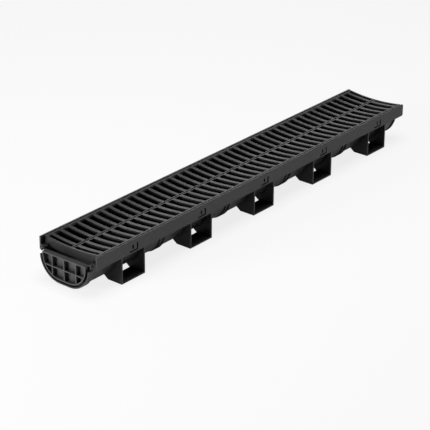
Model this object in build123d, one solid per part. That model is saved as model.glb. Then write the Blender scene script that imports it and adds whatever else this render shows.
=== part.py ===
from build123d import *
import math
import os

# A one metre channel drain: a round-bottomed channel on ten box feet, its slotted grate and its end cap.
# X runs along the channel, from the capped socket end to the open plain end. Y runs across it.
# Z is up, and the feet stand on Z = 0. All sizes are in millimetres.

# Flow section: a flat floor between two corner arcs, then straight sides up to the ledge
floor_width = 25.0
corner_radius = 44.2
side_height = 10.2
trough_wall = 2.5
belly_clearance = 7.6
trough_setback = 5.0

# Ledge that carries the grate, and the skirts that stand round it
skirt_length = 1000.0
ledge_width = 12.9
ledge_thickness = 2.5
grate_recess = 16.5
skirt_wall = 3.4
skirt_drop = 7.5
skirt_corner_radius = 3.0

# Socket at the capped end, which takes the plain end of the next channel
socket_reach = 11.0
socket_depth = 10.5
socket_fit = 0.4
socket_wall = 2.5
socket_side_drop = 2.5

# Hooks beside the socket, which slide in between the skirts of the next channel
hook_reach = 6.6
hook_width = 7.3
hook_lip = 2.4
hook_drop = 5.0
hook_end_gap = 0.5

# Stiffening ribs round the trough
rib_height = 2.5
rib_thickness = 2.2
rib_pair_spacing = 12.0

# Feet, in pairs along the channel
foot_pitch = 200.0
foot_length = 66.0
foot_plate = 3.0
foot_depth = 35.0
foot_chamfer_run = 14.0

# Snap latches cut in the skirts, one over each foot
latch_left = 10.0
latch_right = 14.0
latch_side_slit = 4.0
latch_bottom_slit = 2.5
latch_band = 3.0
latch_rise = 7.5
latch_slot_width = 4.0
latch_slot_rise = 6.5
latch_slot_drop = 2.0

# Grate
grate_near_setback = 9.0
grate_far_setback = 4.0
grate_side_gap = 2.2
grate_seat_gap = 0.3
grate_top_inset = 0.2
grate_rail_width = 4.4
slot_end_slope = 2.3
dish_depth = 5.3
bar_pitch = 22.73
bar_width = 7.6
bar_depth = 13.0
spine_width = 7.2
spine_groove_width = 2.6
spine_groove_depth = 1.3
spine_web = 3.0
spine_depth = 18.0
end_wall_thickness = 4.0
end_wall_depth = 19.0
end_wall_side_depth = 15.8
end_wall_side_gap = 1.0

# Lugs on the grate's rails, which click into the slots of the latches
lug_fit = 0.5
lug_height = 4.0
lug_tip_height = 1.2
lug_catch = 1.6

# End cap
cap_proud = 1.0
cap_plate = 2.0
cap_fit = 0.4
cap_seat_gap = 0.3
cap_top_gap = 1.5
cap_rim_step = 4.4
cap_rim_wall = 2.4
cap_rib_thickness = 2.2
cap_rib_spacing = 30.0
cap_cross_rib_drop = 24.5

# Stations along X, with the whole object centred on X = 0
x_cap_face = -(skirt_length + socket_reach + cap_proud) / 2
x_socket_near = x_cap_face + cap_proud
x_skirt_near = x_socket_near + socket_reach
x_skirt_far = x_skirt_near + skirt_length
x_middle = (x_skirt_near + x_skirt_far) / 2
x_shoulder = x_socket_near + socket_depth
x_cap_seat = x_shoulder - cap_seat_gap
x_trough_far = x_skirt_far - trough_setback
x_ledge_far = x_skirt_far - hook_reach - hook_end_gap
x_stop_rib = x_skirt_far - socket_reach - hook_end_gap - rib_thickness
x_grate_near = x_skirt_near + grate_near_setback
x_grate_far = x_skirt_far - grate_far_setback
foot_count = round(skirt_length / foot_pitch)
foot_stations = [x_middle + foot_pitch * (i - (foot_count - 1) / 2) for i in range(foot_count)]
rib_stations = [(a + b) / 2 for a, b in zip(foot_stations, foot_stations[1:])]

# Heights, from the ground up
arc_centre = belly_clearance + trough_wall + corner_radius
ledge_top = arc_centre + side_height
ledge_bottom = ledge_top - ledge_thickness
channel_top = ledge_top + grate_recess
skirt_bottom = ledge_bottom - skirt_drop
grate_top = channel_top - grate_top_inset
grate_underside = ledge_top + grate_seat_gap
dish_bottom = grate_top - dish_depth
latch_bottom = skirt_bottom + latch_band
latch_slot_top = ledge_top + latch_slot_rise
cap_top = ledge_bottom - cap_top_gap

# Widths, from the middle outwards
floor_half = floor_width / 2
trough_inner = floor_half + corner_radius
skirt_inner = trough_inner + ledge_width
skirt_outer = skirt_inner + skirt_wall
foot_floor_edge = skirt_outer - foot_depth
foot_inner_edge = foot_floor_edge - foot_chamfer_run
hook_outer = trough_inner + hook_width
grate_outer = skirt_inner - grate_side_gap
slot_outer = grate_outer - grate_rail_width
slot_inner = spine_width / 2

# Radii of the corner arcs, which all share one centre
trough_radius = corner_radius + trough_wall
rib_radius = trough_radius + rib_height
socket_radius = trough_radius + socket_fit
socket_outer_radius = socket_radius + socket_wall
cap_plate_radius = socket_radius - cap_fit
cap_rim_radius = cap_plate_radius - cap_rim_step
dish_radius = (grate_outer ** 2 + dish_depth ** 2) / (2 * dish_depth)


def along(face, start, end):
    """Carry a section drawn in Y and Z along the channel, from start to end."""
    return extrude(Plane.YZ.offset(start) * face, amount=end - start)


def block(x_span, y_span, z_span):
    """A block between a low and a high value of X, Y and Z."""
    spans = (x_span, y_span, z_span)
    size = [high - low for low, high in spans]
    centre = [(low + high) / 2 for low, high in spans]
    return Pos(*centre) * Box(*size)


def both_sides(part):
    """The part and its mirror image across the middle of the channel."""
    return part + mirror(part, Plane.XZ)


def trough_section(radius, top):
    """The filled U of the trough, with corner arcs of this radius and a straight line across its top."""
    side = floor_half + radius
    low = arc_centre - radius
    slant = radius * math.sqrt(0.5)
    right_corner = ThreePointArc(
        (floor_half, low), (floor_half + slant, arc_centre - slant), (side, arc_centre)
    )
    left_corner = ThreePointArc(
        (-side, arc_centre), (-floor_half - slant, arc_centre - slant), (-floor_half, low)
    )
    straights = Polyline((side, arc_centre), (side, top), (-side, top), (-side, arc_centre))
    return make_face([Line((-floor_half, low), (floor_half, low)), right_corner, straights, left_corner])


def dish_height(y):
    """Height of the grate's dished top at this distance from the middle."""
    return dish_bottom + dish_radius - math.sqrt(dish_radius ** 2 - y ** 2)


def dish_section(outer, middle_depth, side_depth):
    """A band under the grate's dished top, with its sides at Y = -outer and outer."""
    edge = dish_height(outer)
    low = edge - side_depth
    top = ThreePointArc((-outer, edge), (0, dish_bottom), (outer, edge))
    bottom = ThreePointArc((-outer, low), (0, dish_bottom - middle_depth), (outer, low))
    sides = [Line((side, edge), (side, low)) for side in (-outer, outer)]
    return make_face([top, bottom, *sides])


def skirt():
    """The upright wall on one side, with the corners of its far end rounded."""
    wall = Rectangle(skirt_length, channel_top - skirt_bottom)
    wall = fillet(wall.vertices().sort_by(Axis.X)[-2:], skirt_corner_radius)
    place = Plane.XZ.offset(-skirt_outer) * Pos(x_middle, (channel_top + skirt_bottom) / 2)
    return extrude(place * wall, amount=skirt_wall)


def foot():
    """A foot at X = 0 on one side: two cross plates that carry the trough and the skirt, on a floor plate."""
    mid_wall_radius = corner_radius + trough_wall / 2
    chamfer_top = arc_centre - math.sqrt(mid_wall_radius ** 2 - (foot_inner_edge - floor_half) ** 2)
    outline = Polyline(
        (skirt_outer, 0),
        (skirt_outer, ledge_bottom),
        (foot_inner_edge, ledge_bottom),
        (foot_inner_edge, chamfer_top),
        (foot_floor_edge, 0),
        close=True,
    )
    half = foot_length / 2
    near_plate = along(make_face(outline), -half, -half + foot_plate)
    far_plate = along(make_face(outline), half - foot_plate, half)
    floor = block((-half, half), (foot_floor_edge, skirt_outer), (0, foot_plate))
    return near_plate + far_plate + floor


def hook():
    """A hook beside the socket on one side: a flange in line with the ledge, with a lip turned down."""
    outline = Polyline(
        (trough_inner, ledge_top),
        (hook_outer, ledge_top),
        (hook_outer, ledge_bottom - hook_drop),
        (hook_outer - hook_lip, ledge_bottom - hook_drop),
        (hook_outer - hook_lip, ledge_bottom),
        (trough_inner, ledge_bottom),
        close=True,
    )
    return along(make_face(outline), x_skirt_near - hook_reach, x_skirt_near)


def latch_cut():
    """What a latch at X = 0 takes out of the skirt: an L-shaped slit beside its tongue, and its slot."""
    through = (skirt_inner, skirt_outer)
    bottom_slit = block(
        (-latch_left, latch_right), through, (latch_bottom, latch_bottom + latch_bottom_slit)
    )
    side_slit = block(
        (latch_right - latch_side_slit, latch_right), through, (latch_bottom, ledge_top + latch_rise)
    )
    slot = block(
        (-latch_slot_width / 2, latch_slot_width / 2),
        through,
        (ledge_top - latch_slot_drop, latch_slot_top),
    )
    return bottom_slit + side_slit + slot


def channel():
    """The channel, one moulding: trough, socket, ledges, skirts, ribs, feet and hooks."""
    body = along(trough_section(trough_radius, ledge_top), x_shoulder, x_trough_far)
    # The trough's walls stop below the ledge here, to make room for the hooks of the next channel
    body -= block((x_ledge_far, x_trough_far), (-skirt_inner, skirt_inner), (ledge_bottom, ledge_top))
    socket = along(trough_section(socket_outer_radius, ledge_top), x_socket_near, x_shoulder + socket_wall)
    socket_side_top = skirt_bottom - socket_side_drop
    socket -= block(
        (x_socket_near, x_skirt_near), (-skirt_outer, skirt_outer), (socket_side_top, channel_top)
    )
    rib = along(trough_section(rib_radius, ledge_bottom), 0, rib_thickness)
    pair_starts = [x + side * rib_pair_spacing / 2 for x in rib_stations for side in (-1, 1)]
    ribs = [Pos(x - rib_thickness / 2, 0, 0) * rib for x in pair_starts]
    stop_rib = Pos(x_stop_rib, 0, 0) * rib
    ledge = block((x_skirt_near, x_ledge_far), (trough_inner, skirt_inner), (ledge_bottom, ledge_top))
    feet = [Pos(x, 0, 0) * both_sides(foot()) for x in foot_stations]
    body += [socket, *ribs, stop_rib, both_sides(ledge), both_sides(skirt()), *feet]

    body -= along(trough_section(corner_radius, channel_top), x_shoulder, x_trough_far)
    body -= along(trough_section(socket_radius, channel_top), x_socket_near, x_shoulder)
    body -= [Pos(x, 0, 0) * both_sides(latch_cut()) for x in foot_stations]
    return body + both_sides(hook())


def rail():
    """A rail on one side, below the dished top, with a slope at the top of its inner face."""
    slope_top = dish_height(slot_outer)
    outline = Polyline(
        (slot_outer, slope_top),
        (slot_outer - slot_end_slope, slope_top - slot_end_slope),
        (slot_outer - slot_end_slope, grate_underside),
        (grate_outer, grate_underside),
        (grate_outer, slope_top),
        close=True,
    )
    return along(make_face(outline), x_grate_near, x_grate_far)


def slot_spans():
    """Where the rows of slots run along X: between the bars, and between the end bars and the end walls."""
    first = x_grate_near + end_wall_thickness
    last = x_grate_far - end_wall_thickness
    bar_count = int((last - first) / bar_pitch)
    middle = (first + last) / 2
    bars = [middle + bar_pitch * (i - (bar_count - 1) / 2) for i in range(bar_count)]
    starts = [first] + [x + bar_width / 2 for x in bars]
    ends = [x - bar_width / 2 for x in bars] + [last]
    return list(zip(starts, ends))


def lug():
    """A lug at X = 0 on one rail, with a sloping underside that eases it into its latch."""
    top = latch_slot_top - lug_fit
    tip = skirt_inner + lug_catch
    outline = Polyline(
        (grate_outer, top),
        (tip, top),
        (tip, top - lug_tip_height),
        (grate_outer, top - lug_height),
        close=True,
    )
    half = latch_slot_width / 2 - lug_fit
    return along(make_face(outline), -half, half)


def grate():
    """The grate, one moulding: dished bars between two rails, a spine below them and a wall at each end."""
    length = (x_grate_near, x_grate_far)
    body = along(dish_section(grate_outer, bar_depth, bar_depth), *length)

    slot_width = slot_outer - slot_inner
    slot_y = (slot_outer + slot_inner) / 2
    slots = [
        Pos((start + end) / 2, side * slot_y) * Rectangle(end - start, slot_width)
        for start, end in slot_spans()
        for side in (-1, 1)
    ]
    low = dish_bottom - bar_depth
    body -= extrude(Pos(0, 0, low) * (Sketch() + slots), amount=channel_top - low)
    body += both_sides(rail())

    groove = (-spine_groove_width / 2, spine_groove_width / 2)
    body -= block(length, groove, (dish_bottom - spine_groove_depth, channel_top))
    web = (-spine_web / 2, spine_web / 2)
    body += block(length, web, (dish_bottom - spine_depth, dish_bottom - bar_depth / 2))
    wall_outer = trough_inner - end_wall_side_gap
    end_wall = dish_section(wall_outer, end_wall_depth, end_wall_side_depth)
    body += along(end_wall, x_grate_near, x_grate_near + end_wall_thickness)
    body += along(end_wall, x_grate_far - end_wall_thickness, x_grate_far)
    return body + [Pos(x, 0, 0) * both_sides(lug()) for x in foot_stations]


def end_cap():
    """The end cap, one moulding: a plate that fills the socket, and a ribbed hollow boss in front of it."""
    plate_front = x_cap_seat - cap_plate
    cap = along(trough_section(cap_plate_radius, cap_top), plate_front, x_cap_seat)
    cap += along(trough_section(cap_rim_radius, cap_top), x_cap_face, plate_front)
    rim_inner = trough_section(cap_rim_radius - cap_rim_wall, cap_top - cap_rim_wall)
    hollow = along(rim_inner, x_cap_face, plate_front)
    cap -= hollow

    depth = (x_cap_face, plate_front)
    half = cap_rib_thickness / 2
    upright = block(depth, (-half, half), (0, cap_top))
    cross_height = cap_top - cap_cross_rib_drop
    cross = block(depth, (-skirt_outer, skirt_outer), (cross_height - half, cross_height + half))
    ribs = [Pos(0, side * cap_rib_spacing, 0) * upright for side in (-1, 0, 1)]
    return cap + [hollow & rib for rib in [*ribs, cross]]


os.makedirs("parts", exist_ok=True)
export_step(channel(), "parts/channel.step")
export_step(grate(), "parts/grate.step")
export_step(end_cap(), "parts/end_cap.step")
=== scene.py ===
import bmesh
import bpy
import math
from mathutils import Matrix, Vector


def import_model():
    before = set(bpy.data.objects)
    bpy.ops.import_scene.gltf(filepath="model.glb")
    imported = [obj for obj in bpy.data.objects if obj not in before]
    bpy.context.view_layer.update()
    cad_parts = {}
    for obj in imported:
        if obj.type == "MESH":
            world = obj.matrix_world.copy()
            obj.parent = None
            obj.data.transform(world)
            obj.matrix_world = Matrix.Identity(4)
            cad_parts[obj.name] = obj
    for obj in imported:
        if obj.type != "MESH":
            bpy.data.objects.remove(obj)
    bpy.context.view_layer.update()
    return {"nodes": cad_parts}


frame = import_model()

# Everything is in metres, in the frame of the channel: X along it, Z up from the ground.

# Camera, fitted to the corners, feet and bars in the photograph
CAMERA_PLACE = (-2.7040, -2.1376, 1.5808)
CAMERA_AZIMUTH = math.radians(-51.046)
CAMERA_ELEVATION = math.radians(25.074)
CAMERA_ROLL = math.radians(0.506)
CAMERA_LENS = 154.28
CAMERA_NEAR = 0.05
CAMERA_FAR = 100.0
SENSOR_WIDTH = 36.0
# The fit counted from the middles of the photograph's pixels, so the frame shifts by half a pixel.
PHOTO_WIDTH = 430
HALF_PIXEL = 0.5 / PHOTO_WIDTH

# Colours, as linear values
BLACK = (0.0, 0.0, 0.0, 1.0)
WHITE = (1.0, 1.0, 1.0, 1.0)
CHANNEL_BLACK = (0.009, 0.0091, 0.0094, 1.0)
CHANNEL_PALE = (0.036, 0.0362, 0.0368, 1.0)
GRATE_BLACK = (0.004, 0.004, 0.0042, 1.0)
GRATE_PALE = (0.014, 0.0141, 0.0144, 1.0)
CAP_BLACK = (0.024, 0.0242, 0.0248, 1.0)
CAP_PALE = (0.050, 0.0503, 0.0512, 1.0)
FLOOR_WHITE = (0.85, 0.85, 0.85, 1.0)

# Surface of the plastic
PLASTIC_IOR = 1.5
PLASTIC_SPECULAR = 0.5
CLOUD_SCALE = 14.0
CLOUD_DETAIL = 5.0
SPECKLE_SCALE = 260.0
SPECKLE_DETAIL = 3.0
COLOUR_STOPS = (0.14, 0.42)
GLOSS_BELOW = 0.06
GLOSS_ABOVE = 0.08
GRAIN_SCALE = 600.0
GRAIN_DETAIL = 4.0
# Painted shade: crevices and recesses are darkened in the base colour by ambient occlusion
PAINTED_SHADE_REACH = 0.008
PAINTED_SHADE_SAMPLES = 6
# How open a spot has to be for its colour to start to show, and to show in full; more enclosed spots get
# painted shade, down to black
PAINTED_SHADE_RANGE = (0.35, 0.9)
EDGE_SAMPLES = 4

# Studio
FLOOR_SIZE = 16.0
FLOOR_SHARE_SEEN = 0.82
FLOOR_SHARE_GLOSSY = 0.18
WORLD_STRENGTH = 0.06
WORLD_STRENGTH_SEEN = 1.0
WORLD_SHARE_GLOSSY = 0.1
AIM = (0.0, 0.0, 0.05)


def noise(tree, place, scale, detail):
    """A noise that stays where it is on the object."""
    made = tree.nodes.new("ShaderNodeTexNoise")
    made.inputs["Scale"].default_value = scale
    made.inputs["Detail"].default_value = detail
    tree.links.new(place, made.inputs["Vector"])
    return made.outputs["Fac"]


def maths(tree, operation, first, second):
    """The result of an operation on an output and either another output or a number."""
    made = tree.nodes.new("ShaderNodeMath")
    made.operation = operation
    tree.links.new(first, made.inputs[0])
    if isinstance(second, float):
        made.inputs[1].default_value = second
    else:
        tree.links.new(second, made.inputs[1])
    return made.outputs["Value"]


def mapped(tree, value, from_range=(0.0, 1.0), to_range=(0.0, 1.0)):
    """A value taken from one range to another, and kept inside it."""
    made = tree.nodes.new("ShaderNodeMapRange")
    made.inputs["From Min"].default_value = from_range[0]
    made.inputs["From Max"].default_value = from_range[1]
    made.inputs["To Min"].default_value = to_range[0]
    made.inputs["To Max"].default_value = to_range[1]
    tree.links.new(value, made.inputs["Value"])
    return made.outputs["Result"]


def empty_material(name):
    """A material with nothing but its output, then its node tree and the socket for its surface."""
    material = bpy.data.materials.new(name)
    material.use_nodes = True
    tree = material.node_tree
    tree.nodes.clear()
    output = tree.nodes.new("ShaderNodeOutputMaterial")
    return material, tree, output.inputs["Surface"]


def moulded_plastic(name, dark, pale, roughness, grain_height, edge_radius):
    """Near-black plastic as it leaves the mould.

    It has a fine grain, a faintly cloudy colour and gloss, painted shade that darkens its crevices and
    recesses, and softly rounded edges.
    """
    material, tree, surface = empty_material(name)
    shader = tree.nodes.new("ShaderNodeBsdfPrincipled")
    tree.links.new(shader.outputs["BSDF"], surface)
    shader.inputs["IOR"].default_value = PLASTIC_IOR
    shader.inputs["Specular IOR Level"].default_value = PLASTIC_SPECULAR
    place = tree.nodes.new("ShaderNodeTexCoord").outputs["Object"]

    clouds = noise(tree, place, CLOUD_SCALE, CLOUD_DETAIL)
    speckle = noise(tree, place, SPECKLE_SCALE, SPECKLE_DETAIL)
    colour = tree.nodes.new("ShaderNodeValToRGB")
    for stop, position, shade in zip(colour.color_ramp.elements, COLOUR_STOPS, (dark, pale)):
        stop.position = position
        stop.color = shade
    tree.links.new(maths(tree, "MULTIPLY", clouds, speckle), colour.inputs["Fac"])

    # Painted shade: the base colour is mixed towards black where ambient occlusion finds crevices and
    # recesses
    painted_shade_ao = tree.nodes.new("ShaderNodeAmbientOcclusion")
    painted_shade_ao.samples = PAINTED_SHADE_SAMPLES
    painted_shade_ao.inputs["Distance"].default_value = PAINTED_SHADE_REACH
    shaded = tree.nodes.new("ShaderNodeMix")
    shaded.data_type = "RGBA"
    shaded.inputs["A"].default_value = BLACK
    tree.links.new(mapped(tree, painted_shade_ao.outputs["AO"], from_range=PAINTED_SHADE_RANGE), shaded.inputs["Factor"])
    tree.links.new(colour.outputs["Color"], shaded.inputs["B"])
    tree.links.new(shaded.outputs["Result"], shader.inputs["Base Color"])

    gloss = mapped(tree, clouds, to_range=(roughness - GLOSS_BELOW, roughness + GLOSS_ABOVE))
    tree.links.new(gloss, shader.inputs["Roughness"])

    edges = tree.nodes.new("ShaderNodeBevel")
    edges.samples = EDGE_SAMPLES
    edges.inputs["Radius"].default_value = edge_radius
    bump = tree.nodes.new("ShaderNodeBump")
    bump.inputs["Strength"].default_value = 1.0
    bump.inputs["Distance"].default_value = grain_height
    tree.links.new(noise(tree, place, GRAIN_SCALE, GRAIN_DETAIL), bump.inputs["Height"])
    tree.links.new(edges.outputs["Normal"], bump.inputs["Normal"])
    tree.links.new(bump.outputs["Normal"], shader.inputs["Normal"])
    return material


def dress(name, material):
    """Give a CAD node this material in every slot it has."""
    mesh = frame["nodes"][name].data
    if not mesh.materials:
        mesh.materials.append(material)
    for i in range(len(mesh.materials)):
        mesh.materials[i] = material


def seen_rays(tree, glossy_share):
    """1 for a ray from the camera or through glass, glossy_share for a reflection, 0 for the rest."""
    path = tree.nodes.new("ShaderNodeLightPath")
    glossy = maths(tree, "MULTIPLY", path.outputs["Is Glossy Ray"], glossy_share)
    either = maths(tree, "MAXIMUM", path.outputs["Is Camera Ray"], glossy)
    return maths(tree, "MAXIMUM", either, path.outputs["Is Transmission Ray"])


def floor():
    """A wide pale floor, which shows nearly white and keeps the object's shadow."""
    shape = bmesh.new()
    bmesh.ops.create_grid(shape, x_segments=1, y_segments=1, size=FLOOR_SIZE / 2)
    mesh = bpy.data.meshes.new("floor")
    shape.to_mesh(mesh)
    shape.free()
    made = bpy.data.objects.new("floor", mesh)
    bpy.context.scene.collection.objects.link(made)

    material, tree, surface = empty_material("floor_white")
    paint = tree.nodes.new("ShaderNodeBsdfDiffuse")
    paint.inputs["Color"].default_value = FLOOR_WHITE
    glow = tree.nodes.new("ShaderNodeEmission")
    glow.inputs["Color"].default_value = WHITE
    mix = tree.nodes.new("ShaderNodeMixShader")
    share = maths(tree, "MULTIPLY", seen_rays(tree, FLOOR_SHARE_GLOSSY), FLOOR_SHARE_SEEN)
    tree.links.new(share, mix.inputs["Fac"])
    tree.links.new(paint.outputs["BSDF"], mix.inputs[1])
    tree.links.new(glow.outputs["Emission"], mix.inputs[2])
    tree.links.new(mix.outputs["Shader"], surface)
    mesh.materials.append(material)


def world():
    """An even, dim sky, which shows white where the camera sees it."""
    made = bpy.data.worlds.new("studio")
    made.use_nodes = True
    tree = made.node_tree
    background = tree.nodes["Background"]
    background.inputs["Color"].default_value = WHITE
    seen = seen_rays(tree, WORLD_SHARE_GLOSSY)
    strength = mapped(tree, seen, to_range=(WORLD_STRENGTH, WORLD_STRENGTH_SEEN))
    tree.links.new(strength, background.inputs["Strength"])
    bpy.context.scene.world = made


def softbox(name, place, width, height, power):
    """A rectangular lamp at place that faces the object."""
    data = bpy.data.lights.new(name, "AREA")
    data.shape = "RECTANGLE"
    data.size = width
    data.size_y = height
    data.energy = power
    lamp = bpy.data.objects.new(name, data)
    lamp.location = place
    lamp.rotation_euler = (Vector(AIM) - Vector(place)).to_track_quat("-Z", "Y").to_euler()
    bpy.context.scene.collection.objects.link(lamp)


def camera():
    """The camera at the photograph's viewing angle."""
    data = bpy.data.cameras.new("camera")
    data.sensor_width = SENSOR_WIDTH
    data.lens = CAMERA_LENS
    data.shift_x = -HALF_PIXEL
    data.shift_y = HALF_PIXEL
    data.clip_start = CAMERA_NEAR
    data.clip_end = CAMERA_FAR
    made = bpy.data.objects.new("camera", data)
    turn = (
        Matrix.Rotation(CAMERA_AZIMUTH, 4, "Z")
        @ Matrix.Rotation(math.pi / 2 - CAMERA_ELEVATION, 4, "X")
        @ Matrix.Rotation(CAMERA_ROLL, 4, "Z")
    )
    made.matrix_world = Matrix.Translation(CAMERA_PLACE) @ turn
    bpy.context.scene.collection.objects.link(made)
    bpy.context.scene.camera = made


dress("channel", moulded_plastic(
    "channel_plastic", CHANNEL_BLACK, CHANNEL_PALE, roughness=0.4, grain_height=0.00010, edge_radius=0.0008
))
dress("grate", moulded_plastic(
    "grate_plastic", GRATE_BLACK, GRATE_PALE, roughness=0.34, grain_height=0.00010, edge_radius=0.0003
))
dress("end_cap", moulded_plastic(
    "cap_plastic", CAP_BLACK, CAP_PALE, roughness=0.4, grain_height=0.00006, edge_radius=0.0005
))

floor()
world()
softbox("left_key", (-2.6, 0.7, 0.5), width=0.8, height=0.6, power=72.0)
softbox("top", (0.0, 0.0, 2.6), width=1.6, height=1.6, power=50.0)
softbox("back", (2.5, 2.85, 1.55), width=3.0, height=0.9, power=19.0)
camera()
bpy.context.scene.view_settings.view_transform = "Standard"
